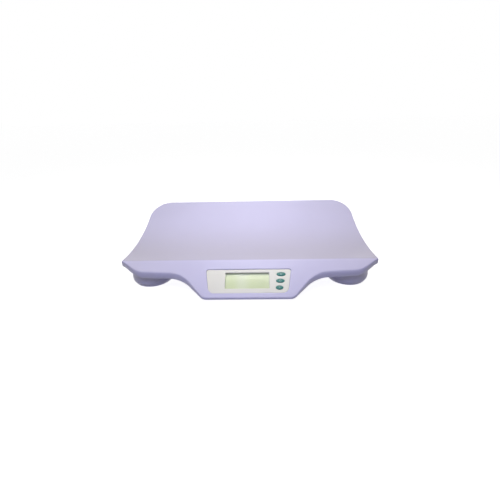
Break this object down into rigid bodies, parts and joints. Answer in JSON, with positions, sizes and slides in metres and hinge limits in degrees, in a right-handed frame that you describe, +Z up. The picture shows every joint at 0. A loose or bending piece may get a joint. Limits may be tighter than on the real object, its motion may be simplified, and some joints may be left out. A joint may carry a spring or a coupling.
{
  "type": "digital baby weighing scale",
  "caption": "Low electronic scale with a wide dished tray for a lying baby, a sloping front tongue with a display and press keys, and load-cell feet.",
  "frame": {"origin": "on the table, under the middle of the whole scale", "axes": "+X along the tray's length to the right as the user reads the display, +Y from the display to the raised back, +Z up"},
  "size_m": [0.551, 0.3404, 0.1079],
  "materials": {
    "lilac_plastic": "satin-gloss moulded ABS, pale lilac",
    "white_plastic": "satin white plastic",
    "clear_lens": "clear acrylic lens",
    "lcd_glass": "pale yellow-green reflective display",
    "teal_rubber": "teal silicone rubber",
    "mat_rubber": "milky silicone contact mat",
    "pad_rubber": "dark foot rubber",
    "dark_component": "black moulded component",
    "bright_steel": "plated steel",
    "circuit_board": "green solder mask",
    "grey_plastic": "grey moulded plastic",
    "battery_case": "plain battery sleeve",
    "wire_sheath": "PVC sheathed lead"
  },
  "bodies": {
    "scale_body": {"tray_shell": "lilac_plastic", "base_cover": "lilac_plastic", "display_bezel": "white_plastic", "display_window": "clear_lens", "lcd_panel": "lcd_glass", "lcd_holder": "grey_plastic", "keypad_mat": "mat_rubber", "main_board": "circuit_board", "main_chip": "dark_component", "buzzer": "dark_component", "front_contact": "bright_steel", "rear_contact": "bright_steel", "battery_lead": "wire_sheath", "board_screw_1": "bright_steel", "battery_1": "battery_case", "board_screw_2": "bright_steel", "battery_2": "battery_case", "board_screw_3": "bright_steel", "battery_3": "battery_case", "board_screw_4": "bright_steel", "battery_4": "battery_case", "base_screw_1": "bright_steel", "base_screw_2": "bright_steel", "base_screw_3": "bright_steel", "base_screw_4": "bright_steel", "base_screw_5": "bright_steel", "base_screw_6": "bright_steel", "load_cell_front_left": "bright_steel", "foot_ring_front_left": "grey_plastic", "load_cell_lead_front_left": "wire_sheath", "load_cell_front_right": "bright_steel", "foot_ring_front_right": "grey_plastic", "load_cell_lead_front_right": "wire_sheath", "load_cell_rear_left": "bright_steel", "foot_ring_rear_left": "grey_plastic", "load_cell_lead_rear_left": "wire_sheath", "load_cell_rear_right": "bright_steel", "foot_ring_rear_right": "grey_plastic", "load_cell_lead_rear_right": "wire_sheath"},
    "foot_front_left": {"foot_cap_front_left": "grey_plastic", "foot_pad_front_left": "pad_rubber"},
    "foot_front_right": {"foot_cap_front_right": "grey_plastic", "foot_pad_front_right": "pad_rubber"},
    "foot_rear_left": {"foot_cap_rear_left": "grey_plastic", "foot_pad_rear_left": "pad_rubber"},
    "foot_rear_right": {"foot_cap_rear_right": "grey_plastic", "foot_pad_rear_right": "pad_rubber"},
    "key_top": {"button_key_top": "teal_rubber"},
    "key_middle": {"button_key_middle": "teal_rubber"},
    "key_bottom": {"button_key_bottom": "teal_rubber"},
    "battery_door": {"battery_door": "lilac_plastic"}
  },
  "joints": [
    {"name": "foot_front_left_press", "type": "slide", "parent": "scale_body", "child": "foot_front_left", "axis": [0, 0, 1], "range_m": [0, 0.00025], "stiffness_N_per_m": 10000},
    {"name": "foot_front_right_press", "type": "slide", "parent": "scale_body", "child": "foot_front_right", "axis": [0, 0, 1], "range_m": [0, 0.00025], "stiffness_N_per_m": 10000},
    {"name": "foot_rear_left_press", "type": "slide", "parent": "scale_body", "child": "foot_rear_left", "axis": [0, 0, 1], "range_m": [0, 0.00025], "stiffness_N_per_m": 10000},
    {"name": "foot_rear_right_press", "type": "slide", "parent": "scale_body", "child": "foot_rear_right", "axis": [0, 0, 1], "range_m": [0, 0.00025], "stiffness_N_per_m": 10000},
    {"name": "key_top_press", "type": "slide", "parent": "scale_body", "child": "key_top", "axis": [0, 0.5, -0.866], "range_m": [0, 0.0008], "stiffness_N_per_m": 1500, "springref_m": -0.0003},
    {"name": "key_middle_press", "type": "slide", "parent": "scale_body", "child": "key_middle", "axis": [0, 0.5, -0.866], "range_m": [0, 0.0008], "stiffness_N_per_m": 1500, "springref_m": -0.0003},
    {"name": "key_bottom_press", "type": "slide", "parent": "scale_body", "child": "key_bottom", "axis": [0, 0.5, -0.866], "range_m": [0, 0.0008], "stiffness_N_per_m": 1500, "springref_m": -0.0003},
    {"name": "battery_door_hinge", "type": "hinge", "parent": "scale_body", "child": "battery_door", "pos_m": [0, -0.02825, 0.008], "axis": [-1, 0, 0], "range_deg": [0, 70]}
  ]
}
